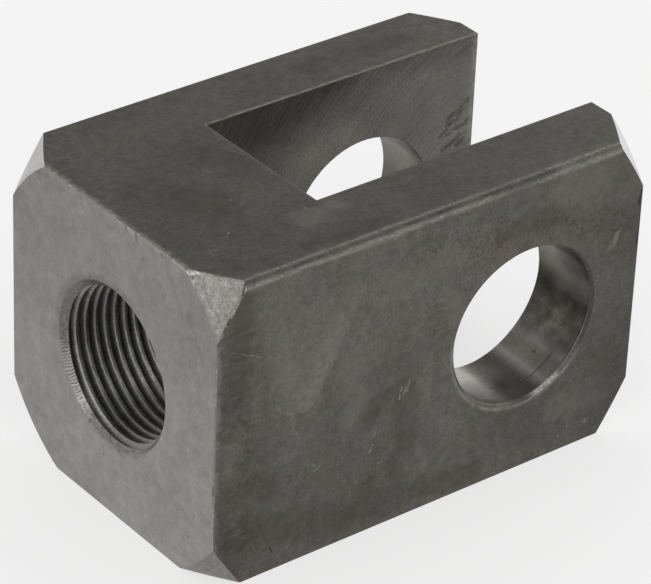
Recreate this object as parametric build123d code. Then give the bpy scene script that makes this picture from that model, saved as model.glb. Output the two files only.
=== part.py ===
from build123d import *
import os

# Rod clevis made from one length of square steel bar, all sizes in millimetres.
# The pin axis (Y) crosses the rod axis (X) at the origin, and Z is up.
# The threaded end looks along minus X and the open fork along plus X.

# Square bar, and where its two ends lie from the pin
bar_width = 58.0
bar_height = 58.0
pin_to_thread_end = 65.0
pin_to_fork_end = 25.0

# Fork slot, milled a little off the middle of the bar
slot_width = 30.4
slot_offset = 0.7
thread_end_to_slot_floor = 30.4

# Pin bore through both ears
pin_bore_diameter = 30.2
pin_bore_chamfer = 0.6

# Rod thread, 30 mm across with a 2 mm pitch, bored here to the crests of its turns
thread_diameter = 30.0
thread_pitch = 2.0
thread_mouth_diameter = 30.5

# Rounds left on the end faces where the corners are turned off at 45 degrees
thread_end_round = 68.0
thread_end_round_lift = 1.1
near_lower_round = 72.0
fork_end_round = 70.6
fork_end_round_shift = 0.6

# Flat filed along the near upper edge of the bar
filed_edge = 1.0

# Share of the pitch that an internal metric thread stands in from its full diameter
thread_depth_factor = 1.0825

# How far every cutter runs past the steel
overrun = 5.0

thread_end_x = -pin_to_thread_end
fork_end_x = pin_to_fork_end
slot_floor_x = thread_end_x + thread_end_to_slot_floor
near_slot_wall_y = slot_offset - slot_width / 2
thread_crest_diameter = thread_diameter - thread_depth_factor * thread_pitch


def square_bar():
    """Bar from one end face to the other, with its filed flat."""
    side = bar_width / 2
    top = bar_height / 2
    section = make_face(
        Polyline(
            (-side, -top),
            (side, -top),
            (side, top),
            (filed_edge - side, top),
            (-side, top - filed_edge),
            close=True,
        )
    )
    bar_length = pin_to_thread_end + pin_to_fork_end
    return extrude(Plane.YZ.offset(thread_end_x) * section, amount=bar_length)


def corner_turning(end_x, inward, end_round, shift_y=0.0, lift_z=0.0):
    """Ring outside the 45 degree cone that a lathe leaves on one end of the bar.

    The cone meets the end face in a circle end_round across. The bar sat off the
    lathe's centre by shift_y and lift_z. inward is the way along X into the bar.
    """
    radius = end_round / 2
    reach = (bar_width + bar_height) / 2
    ring_section = make_face(
        Polyline(
            (end_x - inward * overrun, radius - overrun),
            (end_x + inward * reach, radius + reach),
            (end_x - inward * overrun, radius + reach),
            close=True,
        )
    )
    return Pos(0, shift_y, lift_z) * revolve(ring_section, Axis.X)


def thread_end_turning():
    """Corners turned off the threaded end, the near lower one less deeply."""
    deep = corner_turning(thread_end_x, 1, thread_end_round, lift_z=thread_end_round_lift)
    shallow = corner_turning(thread_end_x, 1, near_lower_round, lift_z=thread_end_round_lift)
    reach = bar_width + bar_height
    near_lower = Pos(thread_end_x, -reach / 2, -reach / 2) * Box(reach, reach, reach)
    return (deep - near_lower) + (shallow & near_lower)


def fork_slot():
    """Square-floored slot, open above, below and at the fork end."""
    slot_length = fork_end_x - slot_floor_x + overrun
    slot_height = bar_height + 2 * overrun
    middle = Pos(slot_floor_x + slot_length / 2, slot_offset, 0)
    return middle * Box(slot_length, slot_width, slot_height)


def pin_bore():
    """Bore along Y, broken at both outer faces and inside the near ear."""
    radius = pin_bore_diameter / 2
    side = bar_width / 2
    cut = pin_bore_chamfer
    half_section = make_face(
        Polyline(
            (0, -side - overrun),
            (radius + cut + overrun, -side - overrun),
            (radius, -side + cut),
            (radius, near_slot_wall_y - cut),
            (radius + cut, near_slot_wall_y),
            (radius, near_slot_wall_y),
            (radius, side - cut),
            (radius + cut + overrun, side + overrun),
            (0, side + overrun),
            close=True,
        )
    )
    return revolve(half_section, Axis.Y)


def thread_bore():
    """Bore along X from the end face into the slot, countersunk at its mouth."""
    mouth_radius = thread_mouth_diameter / 2
    crest_radius = thread_crest_diameter / 2
    countersink_depth = mouth_radius - crest_radius
    half_section = make_face(
        Polyline(
            (thread_end_x - overrun, 0),
            (thread_end_x - overrun, mouth_radius + overrun),
            (thread_end_x + countersink_depth, crest_radius),
            (slot_floor_x + overrun, crest_radius),
            (slot_floor_x + overrun, 0),
            close=True,
        )
    )
    return revolve(half_section, Axis.X)


clevis_body = square_bar()
clevis_body -= thread_end_turning()
clevis_body -= corner_turning(fork_end_x, -1, fork_end_round, shift_y=fork_end_round_shift)
clevis_body -= fork_slot()
clevis_body -= pin_bore()
clevis_body -= thread_bore()

os.makedirs("parts", exist_ok=True)
export_step(clevis_body, "parts/clevis_body.step")
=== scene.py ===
"""Worn steel rod clevis: one square bar, tapped for the rod and cross bored for the pin."""

import math

import bmesh
import bpy
import numpy as np
from bpy.props import FloatProperty, FloatVectorProperty, IntProperty, PointerProperty
from mathutils import Matrix, Vector


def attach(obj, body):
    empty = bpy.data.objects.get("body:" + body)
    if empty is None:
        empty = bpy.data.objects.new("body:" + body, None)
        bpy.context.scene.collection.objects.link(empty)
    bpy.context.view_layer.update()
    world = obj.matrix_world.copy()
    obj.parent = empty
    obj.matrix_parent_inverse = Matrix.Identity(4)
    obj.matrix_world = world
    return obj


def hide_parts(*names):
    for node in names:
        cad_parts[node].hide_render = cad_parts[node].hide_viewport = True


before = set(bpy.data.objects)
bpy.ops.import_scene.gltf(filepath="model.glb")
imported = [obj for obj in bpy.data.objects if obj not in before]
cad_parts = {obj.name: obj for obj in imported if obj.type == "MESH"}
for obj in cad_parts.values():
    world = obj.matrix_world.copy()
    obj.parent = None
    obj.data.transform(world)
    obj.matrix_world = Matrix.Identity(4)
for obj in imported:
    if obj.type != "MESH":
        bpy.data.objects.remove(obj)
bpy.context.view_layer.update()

bl_info = {
    "name": "Rod Clevis",
    "version": (1, 0, 0),
    "blender": (4, 5, 0),
    "location": "3D View > Sidebar > Clevis",
    "description": "Builds a worn steel rod clevis on a pale floor",
    "category": "Add Mesh",
}

NODE = "clevis_body"
MM = 0.001

# Faces of the CAD solid, in millimetres from the crossing of pin axis and rod axis
THREAD_END_X = -65.0
FORK_END_X = 25.0
SLOT_FLOOR_X = -34.6
NEAR_WALL_Y = -14.5
FAR_WALL_Y = 15.9
BAR_HALF = 29.0
PIN_BORE_R = 15.1
PIN_CHAMFER = 0.6
MOUTH_R = 15.25
CREST_R = 13.9175
THREAD_ROUND_R = 34.0
THREAD_ROUND_LIFT = 1.1
NEAR_LOWER_ROUND_R = 36.0
FORK_ROUND_R = 35.3
FORK_ROUND_SHIFT = 0.6

# Planes that marks lie on: which of x, y and z is the same all over each, and where
END_FACE = (0, THREAD_END_X)
NEAR_SIDE = (1, -BAR_HALF)
FAR_WALL = (1, FAR_WALL_Y)
TOP = (2, BAR_HALF)

# Direction round the pin hole in which its chamfer is narrowest
CHAMFER_TOP = math.radians(95.0)
# The floor lies this far below the bar, so that the two never share a plane
FLOOR_GAP = 0.02
# Share of its pitch that an internal metric thread is narrower at its crests
THREAD_DEPTH = 1.0825
# The tap's valleys lie this much deeper than the crests, and at least this far inside the bore
TAP_DEEPENING = 1.35
TAP_CLEARANCE = 0.2
# The tap's leading end starts this far past the slot's floor, and drops over this length
LEAD_START = 0.3
LEAD_LENGTH = 4.0
LEAD_DROP = 1.6

# Finishes, in the order of the piece's material slots
FACED_END, TURNED_CORNER, DRAWN_BAR, FILED_EDGE = range(4)
MILLED_SLOT, BORED_HOLE, TAPPED_THREAD, WORN_EDGE = range(4, 8)


def linear(code):
    """Colour written as sRGB hex, turned to linear by the sRGB curve."""
    values = [int(code[i : i + 2], 16) / 255 for i in (1, 3, 5)]
    return tuple(v / 12.92 if v <= 0.04045 else ((v + 0.055) / 1.055) ** 2.4 for v in values)


# Settings


class ClevisSizes(bpy.types.PropertyGroup):
    """Sizes of what Blender adds to the CAD solid"""

    edge_break: FloatProperty(
        name="Edge break",
        description="How far each sharp edge is broken back along its faces",
        default=0.07 * MM,
        unit="LENGTH",
    )
    edge_wear: FloatProperty(
        name="Edge wear",
        description="How much further handling and tools have worn the edges in places",
        default=0.2 * MM,
        unit="LENGTH",
    )
    edge_step: FloatProperty(
        name="Edge step",
        description="Length of edge between two points of the wear",
        default=0.4 * MM,
        unit="LENGTH",
    )
    thread_diameter: FloatProperty(
        name="Thread diameter",
        description="Full diameter of the rod thread, across its roots",
        default=30.0 * MM,
        unit="LENGTH",
    )
    thread_pitch: FloatProperty(
        name="Thread pitch",
        description="Length that the thread climbs in one turn",
        default=2.0 * MM,
        unit="LENGTH",
    )
    thread_start: FloatProperty(
        name="Thread start",
        description="Where the first crest stands at the mouth, as a share of one turn",
        default=0.37,
        subtype="FACTOR",
    )
    steps_per_turn: IntProperty(
        name="Steps per turn",
        description="How many steps the thread takes in one turn",
        default=96,
    )


class ClevisColours(bpy.types.PropertyGroup):
    """Colours of the steel's finishes"""

    faced: FloatVectorProperty(
        name="Faced end",
        description="Steel faced on the lathe, light and even",
        default=linear("#83827e"),
        subtype="COLOR",
    )
    turned: FloatVectorProperty(
        name="Turned corner",
        description="Steel of the corners turned off at 45 degrees",
        default=linear("#b2b1af"),
        subtype="COLOR",
    )
    drawn: FloatVectorProperty(
        name="Drawn bar",
        description="Dark skin of the cold drawn bar",
        default=linear("#4e4c48"),
        subtype="COLOR",
    )
    # Painted light: the near side's skin is given a lighter colour than the top's, for the light it faces
    drawn_side_lit: FloatVectorProperty(
        name="Drawn bar, near side",
        description="Skin of the bar's near side, rubbed a little lighter and warmer",
        default=linear("#585652"),
        subtype="COLOR",
    )
    milled: FloatVectorProperty(
        name="Milled slot",
        description="Steel of the milled fork slot",
        default=linear("#676662"),
        subtype="COLOR",
    )
    # Oil and painted shade: the slot's darker colour by its floor
    milled_oiled_shaded: FloatVectorProperty(
        name="Milled slot, oily",
        description="Steel of the slot where oil lies by its floor",
        default=linear("#605f5b"),
        subtype="COLOR",
    )
    bored: FloatVectorProperty(
        name="Bored hole",
        description="Steel of the bored pin hole",
        default=linear("#898783"),
        subtype="COLOR",
    )
    chamfer: FloatVectorProperty(
        name="Bore chamfer",
        description="Steel of the broken edge round the pin hole",
        default=linear("#5d5a56"),
        subtype="COLOR",
    )
    thread: FloatVectorProperty(
        name="Thread",
        description="Steel of the thread's flanks and crests",
        default=linear("#8d8c88"),
        subtype="COLOR",
    )
    # Also the colour of the painted glints on worn edges
    bright: FloatVectorProperty(
        name="Bare metal",
        description="Steel laid bare on worn edges, burrs and scratches",
        default=linear("#c9c8c4"),
        subtype="COLOR",
    )
    dirt: FloatVectorProperty(
        name="Dirt",
        description="Oily dirt held in the thread's roots",
        default=linear("#9c9b97"),
        subtype="COLOR",
    )


class StageSettings(bpy.types.PropertyGroup):
    """The camera, the floor and the lamps"""

    azimuth: FloatProperty(
        name="Azimuth",
        description="Where the camera stands round the clevis, 0 looking along Y",
        default=math.radians(-39.0743),
        unit="ROTATION",
    )
    elevation: FloatProperty(
        name="Elevation",
        description="How far the camera stands above the horizon",
        default=math.radians(31.4777),
        unit="ROTATION",
    )
    roll: FloatProperty(
        name="Roll",
        description="How far the camera is turned about its own line of sight",
        default=math.radians(2.4444),
        unit="ROTATION",
    )
    distance: FloatProperty(
        name="Distance",
        description="From the camera to the point it looks at",
        default=649.91 * MM,
        unit="LENGTH",
    )
    aim: FloatVectorProperty(
        name="Aim",
        description="Point that the camera looks at",
        default=(-20.379 * MM, -0.284 * MM, -0.75 * MM),
        subtype="TRANSLATION",
        unit="LENGTH",
    )
    lens: FloatProperty(
        name="Lens",
        description="Focal length on a sensor 36 mm wide, in millimetres",
        default=209.373,
    )
    floor_radius: FloatProperty(
        name="Floor radius",
        description="How far the floor reaches from the clevis",
        default=6.0,
        unit="LENGTH",
    )
    floor_colour: FloatVectorProperty(
        name="Floor",
        description="Matt white board under the clevis",
        default=linear("#f6f6f5"),
        subtype="COLOR",
    )


# Mesh work


def ripple(points, size, seed):
    """Smooth seeded noise of about -1 to 1 at each point, with waves of that size.

    It is the sum of plane waves, sin(direction . point + phase), whose directions,
    lengths and phases are drawn from the seed.
    """
    draw = np.random.default_rng(seed)
    directions = draw.normal(size=(14, 3))
    directions /= np.linalg.norm(directions, axis=1)[:, None]
    waves = directions * (2 * np.pi / (size * draw.uniform(0.6, 1.7, 14)))[:, None]
    phases = draw.uniform(0, 2 * np.pi, 14)
    return np.sin(points @ waves.T + phases).sum(axis=1) / math.sqrt(14)


def finish_of(centres, normals):
    """Finish of each face, from where its middle lies in millimetres and where it looks."""
    x, y, z = centres.T
    nx, ny, _ = np.abs(normals).T
    from_rod = np.hypot(y, z)
    from_pin = np.hypot(x, z)
    finish = np.full(len(centres), DRAWN_BAR)
    finish[(nx > 0.95) & ((x < THREAD_END_X + 0.1) | (x > FORK_END_X - 0.1))] = FACED_END
    finish[(nx > 0.6) & (nx < 0.8) & (from_rod > BAR_HALF)] = TURNED_CORNER
    finish[(normals[:, 1] < -0.6) & (normals[:, 2] > 0.6)] = FILED_EDGE
    finish[(nx > 0.95) & (np.abs(x - SLOT_FLOOR_X) < 0.1)] = MILLED_SLOT
    finish[(ny > 0.95) & (y > NEAR_WALL_Y - 0.1) & (y < FAR_WALL_Y + 0.1)] = MILLED_SLOT
    finish[(from_pin < PIN_BORE_R + 0.7) & (ny < 0.8)] = BORED_HOLE
    finish[(from_rod < MOUTH_R + 0.1) & (nx < 0.8) & (x < SLOT_FLOOR_X + 0.1)] = TAPPED_THREAD
    return finish


def edges_to_break(shape):
    """Sharp outward edges, and the far wall's bore edge, without the turned corners."""
    sharp = []
    for edge in shape.edges:
        if edge.calc_face_angle_signed(0) < math.radians(40):
            continue
        if any(face.material_index == TURNED_CORNER for face in edge.link_faces):
            continue
        a, b = (v.co / MM for v in edge.verts)
        on_rod_hole = max(math.hypot(a.y, a.z), math.hypot(b.y, b.z)) < MOUTH_R + 0.1
        on_pin_hole = max(math.hypot(a.x, a.z), math.hypot(b.x, b.z)) < PIN_BORE_R + 0.8
        on_far_wall = abs(a.y - FAR_WALL_Y) < 0.1 and abs(b.y - FAR_WALL_Y) < 0.1
        if on_rod_hole or (on_pin_hole and not on_far_wall):
            continue
        sharp.append(edge)
    return sharp


def divide(shape, edges, step):
    """Puts points along the edges, no more than one step apart, and leaves their faces whole."""
    counts = {}
    for edge in edges:
        counts.setdefault(math.ceil(edge.calc_length() / step) - 1, []).append(edge)
    for cuts, group in counts.items():
        if cuts > 0:
            bmesh.ops.bisect_edges(shape, edges=group, cuts=cuts)


def refine_corners(shape, cuts):
    """Divides the turned corners finely and lays their points on the true cones.

    A cone point lies as far in from its end face as its distance from the cone's
    axis passes the round's radius: x = end + inward (r - radius).
    """
    corners = [f for f in shape.faces if f.material_index == TURNED_CORNER]
    corners = bmesh.ops.triangulate(shape, faces=corners)["faces"]
    edges = list({edge for face in corners for edge in face.edges})
    bmesh.ops.subdivide_edges(shape, edges=edges, cuts=cuts, use_grid_fill=True)
    corners = [f for f in shape.faces if f.material_index == TURNED_CORNER]
    verts = list({vert for face in corners for vert in face.verts})
    x, y, z = (np.array([v.co for v in verts]) / MM).T
    at_thread = x < 0
    radius = np.where(at_thread, THREAD_ROUND_R, FORK_ROUND_R)
    radius = np.where(at_thread & (y < 0) & (z < 0), NEAR_LOWER_ROUND_R, radius)
    axis_y = np.where(at_thread, 0.0, FORK_ROUND_SHIFT)
    axis_z = np.where(at_thread, THREAD_ROUND_LIFT, 0.0)
    inwards = np.maximum(np.hypot(y - axis_y, z - axis_z) - radius, 0.0)
    x = np.where(at_thread, THREAD_END_X + inwards, FORK_END_X - inwards)
    for vert, along in zip(verts, x * MM):
        vert.co.x = along


def uneven_chamfer(shape):
    """Makes the near chamfer of the pin hole narrow at the top, where the tool hardly cut.

    At angle a round the hole its width is share times the CAD's, with share =
    1 - 0.97 ((1 + cos(a - top)) / 2)^6. Its outer points move in the side face and its
    inner ones along the bore, so both faces keep their form.
    """
    radius_out = PIN_BORE_R + PIN_CHAMFER
    for vert in shape.verts:
        x, y, z = vert.co / MM
        radius = math.hypot(x, z)
        on_side = abs(y + BAR_HALF) < 0.01 and abs(radius - radius_out) < 0.05
        in_bore = abs(y + BAR_HALF - PIN_CHAMFER) < 0.01 and abs(radius - PIN_BORE_R) < 0.05
        towards = (1 + math.cos(math.atan2(z, x) - CHAMFER_TOP)) / 2
        width = PIN_CHAMFER * (1 - 0.97 * towards**6)
        if on_side:
            vert.co.x *= (PIN_BORE_R + width) / radius
            vert.co.z *= (PIN_BORE_R + width) / radius
        elif in_bore:
            vert.co.y = (width - BAR_HALF) * MM


def exposure(points):
    """How much each edge point suffers: most on the threaded end's edges, least below."""
    x, y, z = points.T
    at_end = x < THREAD_END_X + 1
    share = np.full(len(points), 0.25)
    share[z > BAR_HALF - 1.2] = 0.6
    share[at_end & (y < 1 - BAR_HALF)] = 1.0
    share[at_end & (z > BAR_HALF - 1)] = 1.3
    share[at_end & (z > BAR_HALF - 1) & (y > 5)] = 0.7
    return share


def wear_edges(shape, sizes):
    """Wears the broken edges unevenly and chips them, taking metal away only.

    Each point of a broken edge goes inwards by the break times a smooth noise along
    the edge, and by a chip's depth times exp(-(distance / reach)^2) near that chip.
    A point that bounds a face slides in that face, and one that bounds faces with
    different slopes stays, so every face keeps its form. Near such a point the wear is
    at most 0.3 of the distance from it.
    """
    shape.verts.index_update()
    shape.normal_update()
    points = np.array([v.co for v in shape.verts]) / MM
    broken = np.zeros((len(points), 3))
    kept = np.zeros((len(points), 3))
    kept_count = np.zeros(len(points))
    for face in shape.faces:
        rows = [v.index for v in face.verts]
        if face.material_index == WORN_EDGE:
            broken[rows] += face.normal
        else:
            kept[rows] += face.normal
            kept_count[rows] += 1
    by_edge = np.linalg.norm(broken, axis=1) > 1e-6
    on_edge = by_edge & (np.linalg.norm(kept, axis=1) > 0.995 * kept_count)
    bounds_face = kept_count > 0
    face_way = kept / np.maximum(np.linalg.norm(kept, axis=1), 1e-9)[:, None]
    inwards = -broken
    inwards -= np.where(bounds_face, (inwards * face_way).sum(axis=1), 0.0)[:, None] * face_way
    inwards /= np.maximum(np.linalg.norm(inwards, axis=1), 1e-9)[:, None]
    uneven = 0.4 + 0.35 * ripple(points, 4.0, 11) + 0.35 * ripple(points, 1.3, 12)
    depth = sizes.edge_wear / MM * np.clip(uneven, 0.0, 1.4) * exposure(points)
    for place, reach, deep in CHIPS:
        away = np.linalg.norm(points - np.array(place), axis=1)
        depth += deep * np.exp(-((away / reach) ** 2)) * (0.8 + 0.2 * ripple(points, 1.0, 13))
    stays = points[by_edge & ~on_edge]
    free = points[on_edge]
    room = np.min([np.linalg.norm(free - corner, axis=1) for corner in stays], axis=0)
    depth[on_edge] = np.minimum(depth[on_edge], 0.3 * room)
    points += inwards * (depth * on_edge)[:, None]
    for vert, point in zip(shape.verts, points * MM):
        vert.co = point


# Chips in the edges: where, how far they reach and how deep they go, in millimetres
CHIPS = (
    ((-65.0, -1.8, 29.0), 0.6, 0.2),
    ((-65.0, -4.8, 29.0), 0.8, 0.28),
    ((-65.0, -6.5, 29.0), 0.5, 0.26),
    ((-65.0, -12.5, 29.0), 0.6, 0.22),
    ((-65.0, -18.5, 29.0), 1.0, 0.3),
    ((-65.0, -29.0, 15.5), 0.5, 0.26),
    ((-65.0, -29.0, 9.0), 0.5, 0.24),
    ((-65.0, -29.0, 3.0), 0.5, 0.24),
    ((-65.0, -29.0, -3.5), 0.6, 0.3),
    ((-65.0, -29.0, -8.6), 0.9, 0.44),
    ((-65.0, -29.0, -14.5), 0.5, 0.3),
    ((-65.0, -29.0, -21.5), 0.5, 0.28),
    ((24.6, -29.0, 17.6), 1.4, 0.4),
    ((25.0, -14.5, 27.6), 1.6, 0.35),
)


def woven(name, grid, gap):
    """Mesh of a grid of points in metres, and its shape with points within the gap joined."""
    rows, columns = grid.shape[:2]
    index = np.arange(rows * columns).reshape(rows, columns)
    corners = (index[:-1, :-1], index[1:, :-1], index[1:, 1:], index[:-1, 1:])
    mesh = bpy.data.meshes.new(name)
    faces = np.stack(corners, axis=-1).reshape(-1, 4)
    mesh.from_pydata(grid.reshape(-1, 3).tolist(), [], faces.tolist())
    shape = bmesh.new()
    shape.from_mesh(mesh)
    bmesh.ops.remove_doubles(shape, verts=shape.verts, dist=gap)
    return mesh, shape


def tap_body(sizes, colour_slot):
    """Closed body of the tap that cuts the thread into the bore.

    Its side is a V profile carried along a helix. At turning angle a and place s of
    the profile, 0 to 1, x = start + pitch (a / 2 pi + s) and the radius falls from the
    root flat along the 60 degree flanks, r = root - (|s| pitch - flat / 2) / tan 30.
    Near the tap's leading end the whole profile is smaller, as on a real tap.
    """
    pitch = sizes.thread_pitch / MM
    root = sizes.thread_diameter / MM / 2
    steps = sizes.steps_per_turn
    flat = pitch / 8
    valley = root - TAP_DEEPENING * THREAD_DEPTH * pitch / 2
    valley = min(valley, CREST_R - TAP_CLEARANCE)
    half_valley = flat / 2 + (root - valley) * math.tan(math.radians(30))
    reach = np.array([-flat / 2, flat / 2, half_valley, pitch - half_valley, pitch - flat / 2])
    middle = (reach[1] + reach[2]) / 2
    s = np.array([reach[0], reach[1], middle, reach[2], reach[3], pitch - middle, reach[4]]) / pitch
    r = np.array([root, root, (root + valley) / 2, valley, valley, (root + valley) / 2, root])
    start = THREAD_END_X + pitch * (sizes.thread_start - 0.5 - 2)
    turns = math.ceil((SLOT_FLOOR_X + LEAD_LENGTH - start) / pitch)
    turned = np.arange(turns * steps + 1)[:, None] / steps
    x = start + pitch * (turned + s)
    radius = r - LEAD_DROP * np.clip((x - SLOT_FLOOR_X - LEAD_START) / LEAD_LENGTH, 0.0, 1.0)
    angle = 2 * np.pi * turned
    grid = np.stack([x, radius * np.cos(angle), radius * np.sin(angle)], axis=-1)
    mesh, shape = woven("tap", grid * MM, 1e-7)
    open_edges = [e for e in shape.edges if e.is_boundary]
    lids = bmesh.ops.holes_fill(shape, edges=open_edges, sides=0)["faces"]
    bmesh.ops.poke(shape, faces=lids)
    bmesh.ops.recalc_face_normals(shape, faces=shape.faces)
    for face in shape.faces:
        face.material_index = colour_slot
    shape.to_mesh(mesh)
    shape.free()
    return bpy.data.objects.new("tap", mesh)


def cut_with(body, tool):
    """Takes the tool's volume out of the body for good."""
    bpy.context.scene.collection.objects.link(tool)
    cut = body.modifiers.new("cut", "BOOLEAN")
    cut.operation = "DIFFERENCE"
    cut.solver = "EXACT"
    cut.object = tool
    depsgraph = bpy.context.evaluated_depsgraph_get()
    mesh = bpy.data.meshes.new_from_object(body.evaluated_get(depsgraph))
    body.modifiers.remove(cut)
    body.data = mesh
    bpy.data.objects.remove(tool)


def sharpen(mesh):
    """Smooth shading, with a hard line wherever the finish changes or the surface turns."""
    mesh.shade_smooth()
    mesh.set_sharp_from_angle(angle=math.radians(16))
    shape = bmesh.new()
    shape.from_mesh(mesh)
    for edge in shape.edges:
        if len({face.material_index for face in edge.link_faces}) > 1:
            edge.smooth = False
    shape.to_mesh(mesh)
    shape.free()


# Materials


class Nodes:
    """Node tree of a material or of the world, emptied to be built anew."""

    def __init__(self, owner):
        owner.use_nodes = True
        self.tree = owner.node_tree
        self.tree.nodes.clear()

    def add(self, kind, sockets=(), out=0, **settings):
        """Adds one node, sets it, links or fills its sockets by name or in order, gives an output."""
        node = self.tree.nodes.new("ShaderNode" + kind)
        for name, value in settings.items():
            setattr(node, name, value)
        for name, value in sockets.items() if isinstance(sockets, dict) else enumerate(sockets):
            if isinstance(value, bpy.types.NodeSocket):
                self.tree.links.new(value, node.inputs[name])
            else:
                node.inputs[name].default_value = value
        return node if out is None else node.outputs[out]

    def product(self, *factors):
        """All the factors multiplied together."""
        total = factors[0]
        for factor in factors[1:]:
            total = self.add("Math", (total, factor), operation="MULTIPLY")
        return total

    def most(self, *masks):
        """The largest of the masks."""
        total = masks[0]
        for mask in masks[1:]:
            total = self.add("Math", (total, mask), operation="MAXIMUM")
        return total


class Finish(Nodes):
    """Material of one finish, with patterns measured in the clevis's own millimetres."""

    def __init__(self, name):
        self.material = bpy.data.materials.new(name)
        super().__init__(self.material)
        place = self.add("TexCoord", out="Object")
        self.place = self.add("Mapping", {"Vector": place, "Scale": (1 / MM,) * 3})
        self.x, self.y, self.z = self.add("SeparateXYZ", {0: self.place}, out=None).outputs

    def cloud(self, size, seed, detail=2.0, place=None, out=0):
        """Soft noise, mostly 0.3 to 0.7, in lumps of that size: one length or one for each axis."""
        scale = tuple(1 / np.broadcast_to(size, 3))
        start = (7.31 * seed, 3.97 * seed, 5.53 * seed)
        parts = (place or self.place, scale, start)
        spread = self.add("VectorMath", parts, operation="MULTIPLY_ADD")
        return self.add("TexNoise", {"Vector": spread, "Scale": 1.0, "Detail": detail}, out=out)

    def ease(self, value, start, end, low=0.0, high=1.0):
        """Goes smoothly from low to high as the value goes from start to end."""
        return self.add(
            "MapRange",
            {"Value": value, "From Min": start, "From Max": end, "To Min": low, "To Max": high},
            interpolation_type="SMOOTHSTEP",
        )

    def near(self, value, place, reach):
        """1 where the value is at that place, and 0 beyond that reach on both sides of it."""
        away = self.add("Math", (value, place), operation="SUBTRACT")
        return self.ease(self.add("Math", {0: away}, operation="ABSOLUTE"), reach, 0.0)

    def beside(self, start, end, first, last):
        """Rises from 0 to 1 across a line on the near side, from one distance to another."""
        (x, z), (far_x, far_z) = start, end
        length = math.hypot(far_x - x, far_z - z)
        across = ((far_z - z) / length, 0.0, (x - far_x) / length)
        begun = self.add("VectorMath", (self.place, (x, 0.0, z)), operation="SUBTRACT")
        away = self.add("VectorMath", (begun, across), out="Value", operation="DOT_PRODUCT")
        return self.ease(away, first, last)

    def tone(self, *swings):
        """Brightness about 1: the product of clouds, each swinging by its own share."""
        return self.product(
            *(
                self.add("Math", (cloud, 5 * share, 1 - 2.5 * share), operation="MULTIPLY_ADD")
                for cloud, share in swings
            )
        )

    def lay(self, below, over, *masks):
        """One colour over another wherever the masks' product is 1. A colour in words is sRGB hex."""
        both = [(*linear(c), 1) if isinstance(c, str) else c for c in (below, over)]
        both = [c if isinstance(c, bpy.types.NodeSocket) else (*c[:3], 1) for c in both]
        return self.add("Mix", {0: self.product(*masks), 6: both[0], 7: both[1]}, out=2, data_type="RGBA")

    def shade(self, colour, tone):
        """A colour made lighter or darker by a tone."""
        return self.add("VectorMath", {0: colour, "Scale": tone}, operation="SCALE")

    def stain(self, colour, tint, mask):
        """A colour multiplied by a tint wherever the mask is 1."""
        tinted = self.add("VectorMath", (colour, tint), operation="MULTIPLY")
        return self.lay(colour, tinted, mask)

    def bands(self, colour, way, rows, blue, *masks):
        """Bands of other brightness in some directions from an axis, with their blue changed too."""
        for degrees, half, soft, share in rows:
            band = self.product(self.facing(way, degrees, half, soft), *masks)
            colour = self.stain(colour, (share, share, blue * share), band)
        return colour

    def specks(self, spacing, reach, seed):
        """Round specks at random points about that spacing apart, 1 at their middles."""
        shifted = self.add(
            "VectorMath", (self.place, (13.1 * seed, 5.7 * seed, 3.3 * seed)), operation="ADD"
        )
        away = self.add("TexVoronoi", {"Vector": shifted, "Scale": 1 / spacing}, out="Distance")
        return self.ease(away, reach / spacing, 0.5 * reach / spacing)

    def scratches(self, turn, half_length, half_width, gap, seed):
        """Straight hairlines at that turn on every flat face, as cells stretched along it."""
        across = self.add("Math", (self.y, self.z), operation="ADD")
        flat = self.add("CombineXYZ", (self.x, across))
        turned = self.add(
            "Mapping",
            {"Vector": flat, "Rotation": (0, 0, -turn), "Location": (9.1 * seed, 4.3 * seed, 0)},
        )
        share = half_width / gap
        scaled = self.add("VectorMath", (turned, (half_length / share, gap, 1)), operation="DIVIDE")
        away = self.add(
            "TexVoronoi", {"Vector": scaled, "Scale": 1.0}, out="Distance", voronoi_dimensions="2D"
        )
        return self.ease(away, share, 0.3 * share)

    def marks(self, rows, seed, wobble=0.5):
        """Single marks, each a line from one point to another with its own half width.

        The mask is 1 where the distance to the line, after a small wobble, is well
        under the half width.
        """
        wobbled = self.add(
            "VectorMath",
            (self.cloud(1.1 + 0.6 * wobble, seed, out="Color"), (wobble,) * 3, (-0.5 * wobble,) * 3),
            operation="MULTIPLY_ADD",
        )
        place = self.add("VectorMath", (self.place, wobbled), operation="ADD")
        masks = []
        for start, end, half_width in rows:
            along = Vector(end) - Vector(start)
            begun = self.add("VectorMath", (place, start), operation="SUBTRACT")
            share = self.add(
                "VectorMath",
                (begun, along / max(along.length_squared, 1e-6)),
                out="Value",
                operation="DOT_PRODUCT",
            )
            share = self.add("Clamp", {0: share})
            nearest = self.add("VectorMath", {0: along, "Scale": share}, operation="SCALE")
            away = self.add("VectorMath", (begun, nearest), out="Value", operation="DISTANCE")
            masks.append(self.ease(away, half_width, 0.3 * half_width))
        return self.most(*masks)

    def around(self, axis, centre=(0.0, 0.0)):
        """Distance from an axis, and the direction from it, for patterns that run round it."""
        across = {"x": (self.y, self.z), "y": (self.x, self.z)}[axis]
        u, v = (
            self.add("Math", (part, middle), operation="SUBTRACT")
            for part, middle in zip(across, centre)
        )
        flat = self.add("CombineXYZ", (u, v))
        radius = self.add("VectorMath", {0: flat}, out="Value", operation="LENGTH")
        return radius, self.add("VectorMath", {0: flat}, operation="NORMALIZE")

    def rings(self, level, way, width, length, seed, detail=2.0):
        """Cloud drawn out along circles: that wide across them and that long a share of a turn."""
        u, v, _ = self.add("SeparateXYZ", {0: way}, out=None).outputs
        place = self.add("CombineXYZ", (level, u, v))
        return self.cloud((width, length, length), seed, detail, place)

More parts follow.
